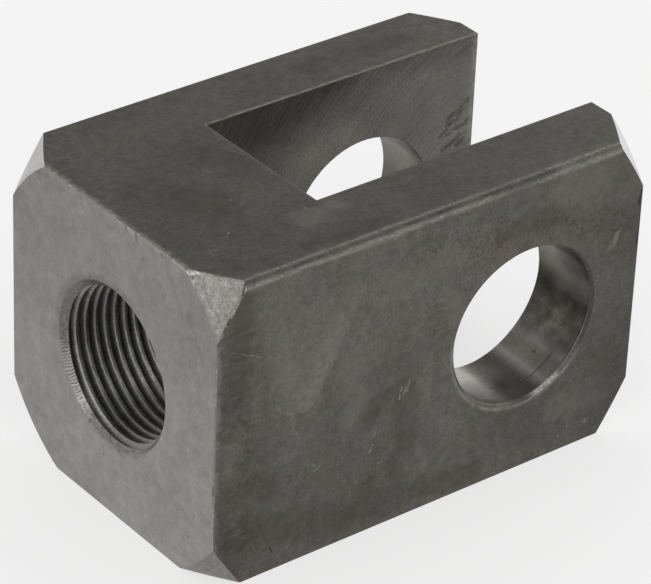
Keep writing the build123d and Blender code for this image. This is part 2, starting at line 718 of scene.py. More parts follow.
    def facing(self, way, degrees, start, end):
        """1 where the direction from the axis is within some degrees of a given one."""
        a = math.radians(degrees)
        lined = self.add(
            "VectorMath",
            (way, (math.cos(a), math.sin(a), 0)),
            out="Value",
            operation="DOT_PRODUCT",
        )
        return self.ease(lined, math.cos(math.radians(end)), math.cos(math.radians(start)))

    def steel(self, colour, roughness, height, relief, glance=(1.0, 1.0, 1.0, 1.0)):
        """Closes the tree: steel of that colour, its relief in millimetres, its glancing tint."""
        normal = self.add("Bump", {"Height": height, "Distance": relief * MM})
        shader = self.add(
            "BsdfPrincipled",
            {
                "Base Color": colour,
                "Metallic": 1.0,
                "Roughness": roughness,
                "Normal": normal,
                "Specular Tint": glance,
            },
        )
        self.add("OutputMaterial", {"Surface": shader}, out=None)
        return self.material


def mouth_flecks(f, colour, radius, way):
    """Brownish flecks of dirt on both sides of the tapped mouth's lower edge."""
    ragged = f.add("Math", (f.cloud(1.6, 33, 2.0), 3.0, radius), operation="MULTIPLY_ADD")
    below = f.product(f.ease(ragged, 17.9, 16.6), f.facing(way, -95, 22, 44))
    fleck = f.ease(f.cloud(0.45, 32, 2.0), 0.47, 0.6)
    colour = f.lay(colour, "#6b6863", below, 0.38)
    # Some of the countersink's dirt has crept on to the face above it
    above = f.product(f.ease(ragged, 18.5, 16.9), f.facing(way, 52, 44, 70))
    colour = f.lay(colour, "#6a6762", above, 0.62)
    sparse = f.ease(f.cloud(1.9, 35), 0.4, 0.55)
    flecked = f.product(f.most(below, f.product(above, 0.4)), fleck, sparse)
    return f.lay(colour, "#4d443e", flecked, 0.62)


def faced_end(colours):
    """Mild steel faced on a lathe: light, even grey, finely grained, with small dark specks."""
    f = Finish("steel_faced_on_lathe")
    radius, way = f.around("x")
    turning = f.rings(radius, way, 0.5, 0.5, 1)
    grain = f.cloud(0.4, 2, 3.0)
    tone = f.tone(
        (f.cloud(9.0, 3, 3.0), 0.08),
        (f.cloud(2.4, 4), 0.09),
        (f.cloud(1.1, 12), 0.06),
        (turning, 0.02),
        (grain, 0.15),
    )
    # Painted light: the face grows lighter towards the bottom, and is a little darker towards the far
    # side
    far = f.ease(f.y, 4.0, 22.0, 1.0, 0.96)
    colour = f.shade(colours.faced, f.product(tone, far, f.ease(f.z, 26.0, -8.0, 0.96, 1.07)))
    rubbed = f.product(f.marks(END_RUBS, 5, 1.6), f.ease(f.cloud((1.6, 1.2, 1.2), 6), 0.42, 0.6))
    colour = f.lay(colour, "#6a6863", rubbed, 0.4)
    # Dirt and wear dull the face along the bar's near side
    side = f.product(f.ease(f.y, -28.1, -29.0), f.ease(f.cloud(1.4, 11), 0.3, 0.6, 0.6, 1.0))
    colour = f.lay(colour, "#67645e", side, 0.75)
    colour = mouth_flecks(f, colour, radius, way)
    dark = f.most(f.specks(2.7, 0.26, 7), f.specks(7.0, 0.5, 8))
    colour = f.lay(colour, "#5c5954", dark, 0.55)
    colour = f.lay(colour, "#a3a29e", f.specks(6.0, 0.25, 9), 0.6)
    colour = f.lay(colour, "#4c4a46", f.marks(END_SLITS, 10, 0.7), 0.6)
    # Painted glints on the light bruises by the edges
    glints = f.product(f.marks(END_GLINTS, 36, 0.7), f.ease(f.cloud(0.5, 37), 0.4, 0.56))
    colour = f.lay(colour, "#a5a39f", glints, 0.8)
    roughness = f.ease(grain, 0.3, 0.7, 0.38, 0.5)
    return f.steel(colour, roughness, f.tone((grain, 0.5), (turning, 0.05)), 0.012)


def marks_on(axis, level, *rows):
    """Marks on a plane: the other two places of each one's start and of its end, and its half width."""
    marks = []
    for *places, half_width in rows:
        start, end = places[:2], places[2:]
        start.insert(axis, level)
        end.insert(axis, level)
        marks.append((start, end, half_width))
    return marks


# Short dark slits under the end face's upper edge
END_SLITS = marks_on(
    *END_FACE,
    (-3.6, 28.9, -3.9, 28.3, 0.3), (-6.2, 28.7, -6.7, 27.6, 0.42), (-13.4, 28.6, -13.8, 28, 0.3),
    (-8.4, 25.3, -8.5, 25, 0.3), (-28.9, -8, -28.6, -9.4, 0.5),
)
# Light bruises with painted glints on them along the end face's upper and near edges
END_GLINTS = marks_on(
    *END_FACE,
    (-1.4, 28.8, -3.2, 28.8, 0.4), (-4.2, 28.6, -6.2, 28.7, 0.36), (-9.6, 28.8, -13, 28.8, 0.3),
    (-16.6, 28.8, -20.2, 28.7, 0.42), (-28.8, -12, -28.8, -22, 0.3), (-28.8, 16, -28.8, 8, 0.2),
    (-27.1, 20.3, -27.4, 19.9, 0.5),
)
# Darker rubbed streaks by the near upper corner
END_RUBS = marks_on(
    *END_FACE,
    (-11, 25.5, -16.5, 18.5, 1.3), (-15.5, 26.5, -19.5, 20.5, 1.1), (-21, 21, -24.5, 15.5, 1),
    (22, 27, 9, 27.5, 1.2),
)


def turned_corner(colours):
    """Corners turned off at 45 degrees: bright and ringed, the near upper one torn and burred, the facets
    painted lighter or darker for the light they face.
    """
    f = Finish("steel_turned_corner")
    radius, way = f.around("x", (0.0, THREAD_ROUND_LIFT))
    turning = f.rings(radius, way, 0.35, 0.3, 12)
    fine = f.cloud(0.3, 13, 3.0)
    lumps = f.cloud(1.0, 14, 3.0)
    thread_end, near, lower = (
        f.add("Math", (along, 0.0), operation="LESS_THAN") for along in (f.x, f.y, f.z)
    )
    near_end = f.product(near, thread_end)
    near_lower = f.product(near_end, lower)
    torn = f.add("Math", (near_end, near_lower), operation="SUBTRACT")
    # Painted light: the fork end's facets get a lighter colour, a painted reflection, and the near lower
    # facet a darker one, painted shade for the floor it faces; the torn near upper facet is darker too
    colour = f.lay("#d5d4d2", colours.turned, thread_end)
    colour = f.lay(colour, "#8d8c87", torn)
    colour = f.lay(colour, "#72706d", near_lower)
    blotches = f.cloud(0.6, 16, 3.0)
    wide = f.cloud(5.0, 15)
    rough = f.tone((wide, 0.1), (turning, 0.12), (lumps, 0.12), (fine, 0.15), (blotches, 0.22))
    calm = f.tone((wide, 0.06), (turning, 0.08), (fine, 0.08))
    colour = f.lay(f.shade(colour, calm), f.shade(colour, rough), near_end)
    pits = f.product(torn, f.ease(f.cloud(0.5, 38, 2.0), 0.4, 0.3))
    colour = f.lay(colour, "#605e5a", pits, 0.6)
    scraped = f.product(f.scratches(2.25, 1.6, 0.08, 1.3, 39), torn, f.ease(lumps, 0.4, 0.55))
    colour = f.lay(colour, "#b7b5b0", scraped, 0.45)
    # Burrs, bright with painted glints
    burr = f.product(f.marks(BURRS, 18, 0.6), f.ease(fine, 0.36, 0.55))
    colour = f.lay(colour, "#d9d8d4", burr, 0.85)
    # The facet runs softly into the faces round it
    ragged = f.add("Math", (lumps, 1.4, radius), operation="MULTIPLY_ADD")
    meets_end = f.product(torn, f.ease(ragged, THREAD_ROUND_R + 1.5, THREAD_ROUND_R + 0.6))
    colour = f.lay(colour, "#7b7975", meets_end, 0.75)
    meets_top = f.product(f.ease(f.z, 28.5, 28.98), f.ease(lumps, 0.35, 0.6, 0.3, 1.0))
    meets_side = f.ease(f.y, -28.3, -28.98)
    colour = f.lay(colour, "#5f5d58", f.most(meets_top, meets_side), torn, 0.75)
    scuffed = f.product(meets_side, torn, f.ease(f.cloud(0.7, 20), 0.54, 0.62))
    colour = f.lay(colour, "#a5a39e", scuffed, 0.8)
    colour = f.lay(colour, "#3a3835", f.marks(CORNER_CRACKS, 19, 0.6), 0.85)
    height = f.tone((blotches, 0.7), (turning, 0.3), (fine, 0.5))
    height = f.product(height, f.add("MapRange", {0: torn, 3: 0.15, 4: 1.0}))
    return f.steel(colour, f.ease(fine, 0.3, 0.7, 0.38, 0.5), height, 0.045)


# On the near upper corner facet: burrs, with painted glints on them, and cracks
BURRS = (
    ((-64.9, -20.2, 28.5), (-64.4, -20.9, 28.6), 0.6),
    ((-64.2, -21.0, 28.7), (-63.0, -24.2, 28.8), 0.35),
    ((-64.9, -21.4, 27.6), (-64.9, -22.6, 25.8), 0.5),
    ((-64.8, -25.9, 21.4), (-64.8, -26.2, 20.9), 0.35),
    ((-64.8, -27.3, 20.1), (-64.8, -27.6, 19.6), 0.4),
    ((-59.2, -28.9, 28.2), (-60.2, -28.9, 26.2), 0.35),
    ((-61.0, -28.9, 25.6), (-63.4, -28.9, 22.4), 0.2),
)
CORNER_CRACKS = (
    ((-59.4, -28.3, 28.9), (-60.3, -28.8, 26.9), 0.26),
    ((-64.5, -21.5, 28.2), (-64.6, -21.6, 27.6), 0.22),
    ((-64.9, -23.2, 24.2), (-64.9, -24.0, 22.9), 0.24),
    ((-62.5, -28.9, 23.6), (-63.1, -28.9, 22.4), 0.34),
    ((-63.5, -28.9, 22.0), (-64.0, -28.9, 21.2), 0.3),
    ((-64.5, -28.9, 20.4), (-64.9, -28.9, 18.6), 0.3),
    ((-63.4, -24.6, 29.0), (-63.6, -26.8, 27.0), 0.16),
)


def drawn_bar(colours):
    """Cold drawn bar left as supplied: a dark, oily skin with mottling, scratches and specks."""
    f = Finish("steel_cold_drawn_bar")
    on_side = f.ease(f.y, -28.6, -28.9)
    on_top = f.ease(f.z, 28.6, 28.9)
    forks = f.product(f.ease(f.x, -42.0, 14.0, 0.9, 1.0), f.ease(f.x, 12.0, 22.0, 1.0, 1.13))
    top = f.shade(colours.drawn, forks)
    # Painted light: the near side has a lighter colour of its own than the top and grows lighter towards
    # the top; it is also darker towards both ends
    ends = f.product(f.ease(f.x, -64.0, -51.0, 0.77, 1.0), f.ease(f.x, 12.0, 21.0, 1.0, 0.88))
    rise = f.product(f.ease(f.z, -20.0, 6.0, 0.965, 1.15), f.ease(f.x, -16.0, 0.0, 1.0, 0.91))
    side = f.shade(colours.drawn_side_lit, f.product(rise, ends))
    middle = f.cloud(5.0, 22, 3.0)
    grain = f.cloud(0.45, 23, 3.0)
    drawing = f.cloud((2.8, 0.5, 0.5), 24, 3.0)
    handling = f.cloud((0.6, 0.6, 1.9), 25, 3.0)
    tone = f.tone(
        (f.cloud(15.0, 21, 3.0), 0.1),
        (middle, 0.13),
        (f.cloud(1.8, 26, 3.0), 0.14),
        (grain, 0.18),
        (drawing, 0.03),
        (handling, 0.06),
    )
    colour = f.shade(f.lay(top, side, on_side), tone)
    warm = f.product(f.ease(f.cloud(7.0, 27, 3.0), 0.46, 0.64), f.ease(on_top, 0.0, 1.0, 1.0, 0.2))
    colour = f.stain(colour, (1.04, 1.0, 0.96), warm)
    colour = f.stain(colour, (0.975, 1.012, 0.97), f.ease(f.cloud(9.0, 28, 3.0), 0.48, 0.62))
    uneven = f.ease(middle, 0.3, 0.6, 0.4, 1.0)
    stained = f.product(f.marks(DARK_STAINS, 29, 4.0), uneven, f.ease(grain, 0.3, 0.55, 0.5, 1.0))
    colour = f.stain(colour, (0.74, 0.72, 0.69), stained)
    flecked = f.product(f.marks(FLECKED_PLACES, 49, 5.0), f.ease(f.cloud(0.8, 48, 3.0), 0.5, 0.68))
    colour = f.lay(colour, "#43392f", flecked, 0.55)
    wiped = f.most(f.marks(PALE_SMEARS, 39, 2.0), f.product(wiped_smear(f), on_side))
    smeared = f.product(wiped, f.ease(f.cloud(1.4, 43, 3.0), 0.34, 0.6, 0.35, 1.0))
    colour = f.lay(colour, "#7b7872", smeared, 0.6)
    hazed = f.product(f.marks(PALE_HAZES, 46, 5.0), uneven)
    colour = f.lay(colour, "#716e68", hazed, 0.35)
    colour = f.lay(colour, "#33322f", f.specks(3.2, 0.3, 30), 0.5)
    bare = f.most(f.specks(8.5, 0.26, 33), f.specks(4.6, 0.15, 34))
    colour = f.lay(colour, "#8b8984", bare, 0.6)
    broken = f.ease(f.cloud(2.0, 35), 0.44, 0.56)
    for turn, long, thin, gap, seed in SCRATCH_LAYS:
        line = f.scratches(turn, long, thin, gap, seed)
        colour = f.lay(colour, "#807e78", line, broken, 0.45)
    rubs = f.product(f.ease(f.cloud((3.0, 0.6, 0.6), 47, 3.0), 0.52, 0.66), f.ease(middle, 0.4, 0.6))
    streaks = f.product(f.ease(f.x, -55.0, -61.0), on_side, rubs)
    colour = f.lay(colour, "#77716a", streaks, 0.3)
    nicked = f.product(f.marks(BARE_NICKS, 40, 0.8), f.ease(grain, 0.4, 0.54, 0.2, 1.0))
    colour = f.lay(colour, "#8f8c86", nicked, 0.6)
    colour = f.lay(colour, "#2b2a28", f.marks(DARK_NICKS, 41, 0.8), 0.7)
    # Handling has rubbed the skin lighter along its edges and round the pin hole
    rub = f.ease(f.cloud(1.8, 44), 0.3, 0.6, 0.35, 1.0)
    pin, way = f.around("y")
    hole = f.product(f.ease(pin, 16.6, 15.7), f.facing(way, -112, 62, 84), on_side, 0.8)
    ragged = f.add("Math", (f.cloud(0.9, 50, 3.0), 1.6, f.x), operation="MULTIPLY_ADD")
    end = f.product(f.ease(ragged, -62.9, -64.2), f.ease(on_side, 0.0, 1.0, 0.75, 0.45))
    faint = f.ease(f.near(f.x, -4.0, 9.0), 0.0, 1.0, 1.0, 0.45)
    strip = f.most(
        f.product(f.ease(f.z, 27.1, 28.1), on_side, faint),
        f.product(f.ease(f.y, -27.0, -28.1), on_top, 0.35),
    )
    past_floor = f.ease(f.x, SLOT_FLOOR_X - 0.6, SLOT_FLOOR_X)
    slot_far = f.product(f.near(f.y, FAR_WALL_Y, 0.9), past_floor, on_top, 0.75)
    slot_end = f.product(f.near(f.x, SLOT_FLOOR_X, 0.8), f.ease(f.y, 16.0, 14.0), on_top, 0.22)
    slot_end = f.product(slot_end, f.ease(f.y, -15.0, -13.0))
    lightened = f.product(f.most(hole, end, strip, slot_far, slot_end), rub)
    colour = f.lay(colour, "#86847e", lightened)
    roughness = f.ease(middle, 0.3, 0.7, 0.42, 0.56)
    height = f.tone((grain, 0.5), (drawing, 0.1), (f.cloud(2.0, 42), 0.4))
    return f.steel(colour, roughness, height, 0.016)


# Hairline scratches on the bar: turn, half length, half width, gap between them and seed
SCRATCH_LAYS = (
    (1.05, 2.2, 0.08, 6.0, 36),
    (0.15, 3.0, 0.07, 8.0, 37),
)
# Marks on the bar's near side and top
PALE_SMEARS = marks_on(
    *NEAR_SIDE,
    (-41, 9, -45.2, 0.8, 0.5), (-52.4, 3, -50, 0.9, 0.4), (-50, 0.9, -46.2, 0.4, 0.6),
    (18.2, 8.6, 20.3, 12.2, 0.7), (-42, 28.4, -28, 28, 1.6),
) + marks_on(
    *TOP,
    (-38.8, -17, -37.4, -15.2, 0.3),
)
PALE_HAZES = marks_on(
    *NEAR_SIDE,
    (-30, 17, -16, 19, 4), (8, 25, 20, 22, 7), (-62, -1.5, -61.2, -6, 2.6), (-18, 13, -15, 7, 2.6),
    (-37, 5, -37, -4, 4), (8, -20, 18, -19, 3.5), (-21.5, -15, -20.8, -22, 1.5),
) + marks_on(
    *TOP,
    (-40, -18.5, -33, -17.5, 3.5),
)
DARK_STAINS = marks_on(
    *NEAR_SIDE,
    (-6, 20, 5, 20, 3.4), (-25.5, -1.5, -23.5, -7, 2.2), (-57, -10, -54, -12, 3.6),
    (-33, -20, -32, -24, 2.6), (-27, -17, -26, -24, 2.4), (-26.5, -2, -25, -15, 4.2),
    (-33, -6, -30, -3, 3), (-60.5, 25, -61, 8, 3.4), (-60, -19, -38, -25, 5),
    (-38, -24, -10, -26, 3.4),
) + marks_on(
    *TOP,
    (-56, 2, -50, -6, 8), (-40, 8, -38, 1, 5), (-8, 22.5, 12, 22, 4), (-58.5, -23.5, -53, -25.5, 3),
    (-44, -25, -30, -25.5, 2.6),
)
# Where the near side is flecked with old brown dirt, round the pin hole
FLECKED_PLACES = marks_on(
    *NEAR_SIDE,
    (-24, 20, -8, 20, 6), (6, 20, 19, 13, 5), (-20, 12, -18, 4, 4), (-60, 4, -58, -22, 4),
)
BARE_NICKS = marks_on(
    *NEAR_SIDE,
    (-26.9, -4.6, -26.5, -2.8, 0.3), (-26.1, -4.4, -25.6, -3, 0.26),
    (-25.4, -3.9, -24.9, -1.6, 0.3), (-32.9, -13.3, -32.2, -12, 0.24),
    (-31.9, -10.4, -31.6, -9.2, 0.13), (-31.2, -16.2, -28.9, -15.9, 0.22),
    (-44.6, -12.3, -43.1, -11.9, 0.2), (-44.8, -11, -43.9, -11.9, 0.18),
    (-62.3, 17, -56.6, 14.2, 0.13), (-30.7, 16.6, -30.6, 15.2, 0.12),
    (-30.6, 13.4, -30.5, 12.2, 0.12), (-46.1, 21.6, -45.7, 19.4, 0.16),
    (16, -25.4, 16.5, -25, 0.36), (11.7, -25.1, 11.8, -24.4, 0.22),
) + marks_on(
    *TOP,
    (-46.9, 18.8, -46.9, 18.9, 0.3), (-52.8, -14.8, -52.9, -14.8, 0.34),
    (-46.3, -6.6, -46.3, -6.7, 0.26), (-58.8, -19.1, -58.9, -19.1, 0.28),
    (-43.9, 3.4, -43.5, 2.6, 0.2),
)
DARK_NICKS = marks_on(
    *NEAR_SIDE,
    (-54.6, -24.5, -53.4, -24.2, 0.24), (-53.4, -24.3, -52.8, -25.6, 0.3),
    (24.9, 18.6, 24.5, 16, 0.6), (24.8, 13.6, 24.8, 8, 0.35), (-40.6, -2.6, -40.5, -2.9, 0.24),
)


def wiped_smear(f):
    """Pale smear that a rag left on the near side: a wedge, hardest along its right side."""
    rim = f.beside(*SMEAR_RIGHT, 0.4, -1.0)
    fading = f.beside(*SMEAR_RIGHT, -6.5, -1.5)
    arm = f.beside(*SMEAR_LEFT, 7.0, 3.0)
    lighter = f.ease(f.most(fading, f.product(arm, 0.6)), 0.0, 1.0, 0.4, 1.0)
    left = f.beside(*SMEAR_LEFT, -2.0, 4.0)
    upward = f.ease(f.z, 25.0, 7.0, 0.3, 1.0)
    return f.product(rim, lighter, left, upward, f.ease(f.z, 0.2, 1.4))


# The smear's right and left sides, as x and z of two points each
SMEAR_RIGHT = ((-45.3, 0.5), (-31.0, 27.0))
SMEAR_LEFT = ((-51.5, 1.0), (-57.0, 20.0))


def filed_edge(colours):
    """Edge of the bar filed off by hand: dirty along its middle, rubbed light along its borders."""
    f = Finish("steel_filed_edge")
    fine = f.cloud(0.4, 51, 3.0)
    patches = f.cloud(1.7, 54)
    tone = f.tone((fine, 0.25), (patches, 0.12))
    # Based on the near side's colour, painted lighter for its light
    colour = f.shade(colours.drawn_side_lit, f.product(tone, f.ease(f.x, 3.0, 8.0, 0.92, 1.25)))
    stretches = f.product(f.marks(DIRTY_STRETCHES, 53, 0.3), f.ease(fine, 0.66, 0.4, 0.25, 1.0))
    colour = f.lay(colour, "#3a3936", stretches, 0.42)
    upper = f.product(f.ease(f.z, 28.6, 28.95), 0.35)
    lower = f.product(f.ease(f.z, 28.5, 28.1), f.ease(f.cloud((5.0, 1.5, 1.5), 55), 0.3, 0.6, 0.45, 1.0))
    lower = f.product(lower, f.ease(f.near(f.x, -3.0, 10.0), 0.0, 1.0, 1.0, 0.3))
    lined = f.product(f.most(upper, lower), f.ease(patches, 0.3, 0.55, 0.6, 1.0))
    colour = f.lay(colour, "#8a8882", lined, 0.6)
    return f.steel(colour, 0.5, f.tone((fine, 0.8)), 0.03)


# Where dirt fills the file's marks along the near upper edge
DIRTY_STRETCHES = [
    ((start, -28.5, 28.5), (end, -28.5, 28.5), half_width)
    for start, end, half_width in (
        (-50, -44, 0.34), (-27, -15.6, 0.62), (-11.6, -10, 0.4), (-8.9, -4.2, 0.62), (-2.9, 4.4, 0.58)
    )
]


def milled_slot(colours):
    """Slot milled with a large cutter: arcs about a point past the fork's open end."""
    f = Finish("steel_milled_slot")
    radius, way = f.around("y", (35.0, -11.0))
    arcs = f.rings(radius, way, 0.4, 0.3, 61, 3.0)
    broad = f.rings(radius, way, 2.0, 0.5, 62)
    grain = f.cloud(0.5, 63, 3.0)
    tone = f.tone((arcs, 0.12), (broad, 0.08), (f.cloud(6.0, 64, 3.0), 0.08), (grain, 0.16))
    # The wall grows darker towards the slot's floor: oil and painted shade
    colour = f.lay(colours.milled_oiled_shaded, colours.milled, f.ease(f.x, -30.0, -14.0))
    colour = f.shade(colour, f.product(tone, f.ease(f.x, 6.0, 16.0, 1.04, 0.92)))
    # Oil and painted shade lie along the top of the far wall, deepest by the slot's floor
    below = f.add("Math", (f.z, f.ease(f.x, -22.0, 2.0, 8.5, 0.3)), operation="ADD")
    below = f.add("Math", (f.cloud(3.0, 68), 3.0, below), operation="MULTIPLY_ADD")
    oil_and_shade = f.product(f.ease(below, 26.0, 34.5), f.ease(f.x, 20.0, 4.0))
    colour = f.lay(colour, f.shade(colour, f.ease(f.x, -31.0, -22.0, 0.63, 0.45)), oil_and_shade)
    colour = f.stain(colour, (1.0, 1.0, 0.95), oil_and_shade)
    colour = f.stain(colour, (1.38, 1.36, 1.32), f.marks(WIPED_BY_HOLE, 59, 3.0))
    colour = f.stain(colour, (1.02, 0.995, 0.97), f.ease(f.cloud(4.0, 69), 0.5, 0.64))
    scored = f.product(f.marks(PALE_SCORES, 70, 0.7), f.ease(grain, 0.3, 0.55, 0.4, 1.0))
    colour = f.lay(colour, "#7d7a74", scored, 0.35)
    torn = f.ease(f.cloud(0.8, 66, 3.0), 0.36, 0.54, 0.25, 1.0)
    gouges = f.product(f.marks(GOUGES, 65, 1.5), torn)
    colour = f.lay(colour, "#342e29", gouges, 0.7)
    upper = f.product(f.ease(f.z, 23.0, 27.0), f.ease(f.x, 4.0, 12.0))
    lines = f.product(upper, f.ease(arcs, 0.42, 0.6, 0.35, 1.0))
    colour = f.lay(colour, "#403d39", lines, 0.55)
    pale = f.ease(f.rings(radius, way, 0.45, 0.12, 67), 0.6, 0.72)
    colour = f.lay(colour, "#7c7973", pale, f.ease(f.x, 0.0, 14.0), 0.4)
    mouth = f.product(f.ease(f.x, 23.2, 24.8), f.ease(f.cloud(1.2, 60), 0.35, 0.6, 0.3, 1.0))
    colour = f.lay(colour, "#85827c", mouth, 0.7)
    return f.steel(colour, f.ease(arcs, 0.3, 0.7, 0.38, 0.5), f.tone((arcs, 0.6), (grain, 0.4)), 0.025)


# Where the far wall is wiped clean beside the pin hole
WIPED_BY_HOLE = marks_on(
    *FAR_WALL,
    (-12, 12.5, -5, 16, 7.5),
)
# Where the cutter tore the far wall near the fork's end
GOUGES = marks_on(
    *FAR_WALL,
    (21.2, 14.2, 22.4, 15, 0.9), (19.2, 13.2, 20.4, 14.4, 0.7), (18.9, 12.2, 20.6, 12.8, 0.6),
    (20.8, 12.6, 21.8, 13.2, 0.6), (19.2, 10.3, 21.4, 11.2, 0.6), (21.6, 10.7, 23.8, 12.2, 0.6),
    (17.4, 10.2, 19, 11.4, 0.5), (18.3, 7.2, 20, 8.2, 0.7), (20, 8.2, 22.2, 9.4, 0.65),
    (21.4, 7.6, 22.8, 8.2, 0.6), (22.6, 15.4, 24, 16.2, 0.5),
)
PALE_SCORES = marks_on(
    *FAR_WALL,
    (18.6, 9.2, 24.9, 10.8, 0.5), (22, 13.3, 24.9, 13.6, 0.5), (19.6, 9.6, 22, 10, 0.5),
    (20.4, 7.2, 21.2, 7, 0.4),
)


def bored_hole(colours):
    """Pin hole bored smooth: fine tool lines round it, painted reflection bands along it, a chamfered
    mouth.
    """
    f = Finish("steel_bored_hole")
    radius, way = f.around("y")
    lines = f.rings(f.y, way, 0.3, 0.5, 71)
    patches = f.cloud(2.2, 72, 3.0)
    grain = f.cloud(0.5, 73, 3.0)
    tone = f.tone((lines, 0.05), (patches, 0.13), (f.cloud(4.5, 77), 0.08), (grain, 0.1))
    near_ear = f.ease(f.y, -25.5, -20.0, 0.84, 1.1)
    colour = f.shade(colours.bored, f.product(tone, near_ear))
    colour = f.stain(colour, (0.66, 0.66, 0.64), f.near(f.y, FAR_WALL_Y, 4.8))
    # Painted reflection bands along the hole, lighter and darker, a little olive where they are dark
    inner = f.ease(f.y, -22.5, -18.5)
    near = f.ease(f.y, 0.0, -10.0)
    colour = f.bands(colour, way, REFLECTION_BANDS, 0.95)
    colour = f.bands(colour, way, OUTER_REFLECTION_BANDS, 0.97, f.ease(f.y, -19.5, -22.5))
    colour = f.bands(colour, way, INNER_REFLECTION_BANDS, 0.97, inner)
    colour = f.bands(colour, way, ((15.0, 5.0, 12.0, 1.12),), 0.97, inner, near)
    colour = f.stain(colour, (0.66, 0.66, 0.62), f.marks(OIL_POOLS, 78, 2.0))
    colour = f.lay(colour, "#33322f", f.marks(BORE_PITS, 79, 0.4), 0.6)
    # A tool line round the hole, and a painted shade line just inside the chamfer on one side
    line = f.product(f.near(f.y, -25.3, 0.25), f.facing(way, -62, 12, 20))
    rim = f.product(f.ease(f.y, -27.9, -28.3), f.facing(way, -14, 30, 48), 0.55)
    colour = f.lay(colour, "#3b3a36", f.most(line, rim), 0.75)
    # The chamfer, with painted reflection bands round it and a painted glint on its lower side
    edge = f.shade(colours.chamfer, f.tone((f.cloud(1.2, 75), 0.12), (grain, 0.2)))
    edge = f.bands(edge, way, CHAMFER_REFLECTION_BANDS, 1.0)
    glint = f.product(f.facing(way, -67, 4, 15), f.ease(f.cloud(0.6, 76), 0.36, 0.56, 0.35, 1.0))
    edge = f.lay(edge, "#a9a7a2", glint, 0.85)
    chamfer = f.ease(radius, PIN_BORE_R + 0.04, PIN_BORE_R + 0.12)
    colour = f.lay(colour, edge, chamfer)
    roughness = f.ease(patches, 0.3, 0.7, 0.34, 0.44)
    # Painted shade: in one band of the near ear's half, a darker glancing tint dulls what the far side of
    # the hole gives back
    glance = f.lay("#ffffff", "#e2e2df", f.facing(way, 36, 5, 12), near)
    return f.steel(colour, roughness, f.tone((lines, 0.6), (grain, 0.3)), 0.01, glance)


# Painted reflection bands round the pin hole: direction, half width and soft half width in degrees,
# brightness
REFLECTION_BANDS = (
    (-82.5, 4.0, 19.0, 0.29),
    (-15.0, 2.0, 8.0, 0.72),
    (-56.0, 2.0, 9.0, 0.68),
    (-24.0, 6.0, 17.0, 1.55),
    (25.0, 24.0, 45.0, 0.43),
)
OUTER_REFLECTION_BANDS = (
    (3.0, 4.0, 12.0, 1.3),
    (34.0, 12.0, 26.0, 0.52),
)
INNER_REFLECTION_BANDS = (
    (-22.0, 10.0, 22.0, 0.72),
    (15.0, 8.0, 18.0, 1.24),
    (39.0, 7.0, 15.0, 0.5),
    (-106.0, 18.0, 34.0, 1.65),
)
CHAMFER_REFLECTION_BANDS = (
    (-152.0, 6.0, 30.0, 2.2),
    (-86.0, 4.0, 14.0, 0.8),
    (2.0, 26.0, 46.0, 0.6),
    (64.0, 3.0, 14.0, 1.8),
)
OIL_POOLS = (
    ((-2.4, -27.4, -14.9), (0.2, -24.0, -15.1), 2.6),
    ((-5.5, -28.0, -14.0), (-2.5, -27.8, -14.9), 1.4),
)
BORE_PITS = (
    ((-1.6, -23.4, -15.0), (-1.5, -23.4, -15.0), 0.45),
    ((9.0, -22.0, -12.1), (9.1, -22.0, -12.0), 0.4),
)


def tapped_thread(colours):
    """Tapped thread: crests rubbed light under painted highlight and shade bands, flanks grey, and
    cutting oil dark in the roots.
    """
    f = Finish("steel_tapped_thread")
    radius, way = f.around("x")
    rubbed = f.cloud(2.5, 81, 3.0)
    grain = f.cloud(0.45, 82, 3.0)
    deeper = f.ease(f.x, -61.0, -52.0, 1.0, 1.2)
    tone = f.product(f.tone((rubbed, 0.1), (grain, 0.24)), deeper)
    colour = f.lay("#7a7975", f.shade(colours.dirt, 0.55), f.ease(radius, 14.5, 14.9))
    colour = f.lay(colour, colours.thread, f.ease(radius, 14.45, 14.1))
    colour = f.lay(colour, "#979692", f.ease(radius, 14.05, 13.93), 0.8)
    colour = f.bands(colour, way, CREST_REFLECTION_BANDS, 1.0, f.ease(radius, 14.2, 13.97))
    # Painted highlight on the first crest and painted light on its flank against the groove's shade; by
    # the bottom its flanks are wiped clean too
    first = f.product(f.ease(f.x, -61.9, -62.5), f.facing(way, -38, 14, 32), f.ease(radius, 14.4, 14.0))
    colour = f.lay(colour, "#b4b3af", first, 0.55)
    flank = f.product(f.near(f.x, -63.1, 0.9), f.facing(way, -76, 24, 42))
    colour = f.lay(colour, "#b5b4b0", flank, 0.55)
    wiped = f.product(f.ease(f.x, -61.8, -63.0), f.facing(way, -112, 24, 44))
    colour = f.lay(colour, "#7e7d79", wiped)
    colour = f.shade(colour, tone)
    # The countersink keeps the end face's finish, under dirt and the chatter of its tool
    mouth = chattered_mouth(f, f.shade(colours.faced, tone), radius, way)
    cone = f.add("Math", (radius, f.x), operation="ADD")
    colour = f.lay(colour, mouth, f.near(cone, MOUTH_R + THREAD_END_X, 0.12))
    return f.steel(colour, f.ease(rubbed, 0.3, 0.7, 0.37, 0.43), grain, 0.02)


# Painted highlight and shade bands on the crests: direction, half width, soft half width, brightness
CREST_REFLECTION_BANDS = (
    (-37.0, 6.0, 26.0, 1.85),
    (20.0, 14.0, 30.0, 0.62),
    (-88.0, 8.0, 24.0, 0.65),
)


